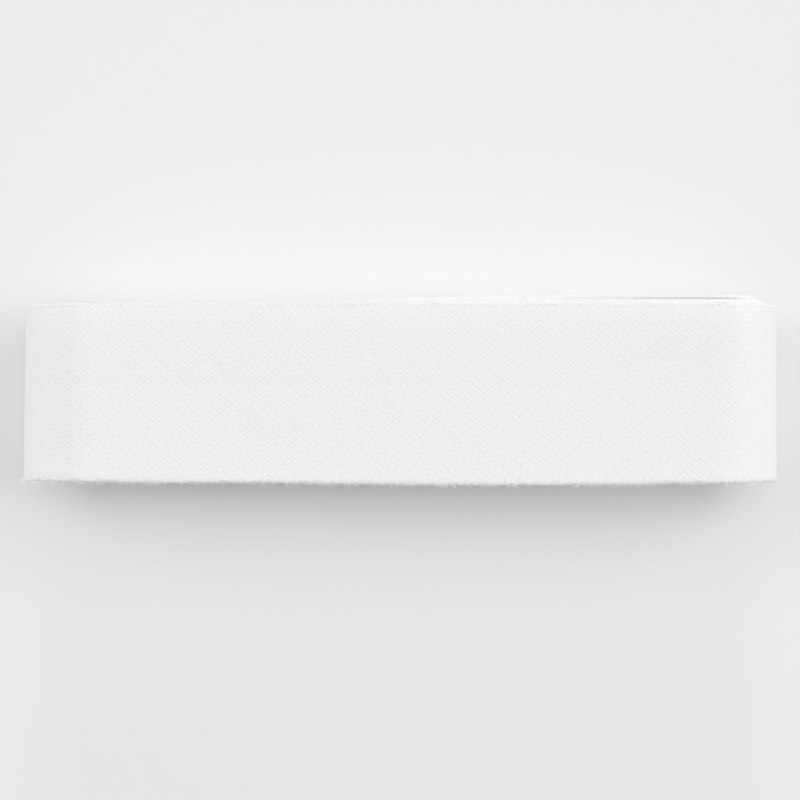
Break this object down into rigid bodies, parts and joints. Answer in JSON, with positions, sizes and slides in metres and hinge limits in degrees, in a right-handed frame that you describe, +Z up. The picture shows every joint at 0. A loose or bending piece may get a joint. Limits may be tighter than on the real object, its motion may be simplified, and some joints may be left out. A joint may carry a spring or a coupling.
{
  "type": "roll of bias tape",
  "caption": "Roll of folded bias tape: a strip of plain-woven white cotton with its raw edges pressed in, wound flat on itself into an oblong with round ends, for binding cloth edges.",
  "frame": {"origin": "on the surface the roll rests on, under the middle of its bounding box", "axes": "+X along the roll, +Y across the tape's width towards the back, +Z up through the wound turns"},
  "size_m": [0.0856, 0.021, 0.0198],
  "materials": {
    "cotton_tape": "matte white plain-woven cotton, threads running on the bias"
  },
  "bodies": {
    "root": {"wound_tape": "cotton_tape"}
  },
  "joints": []
}
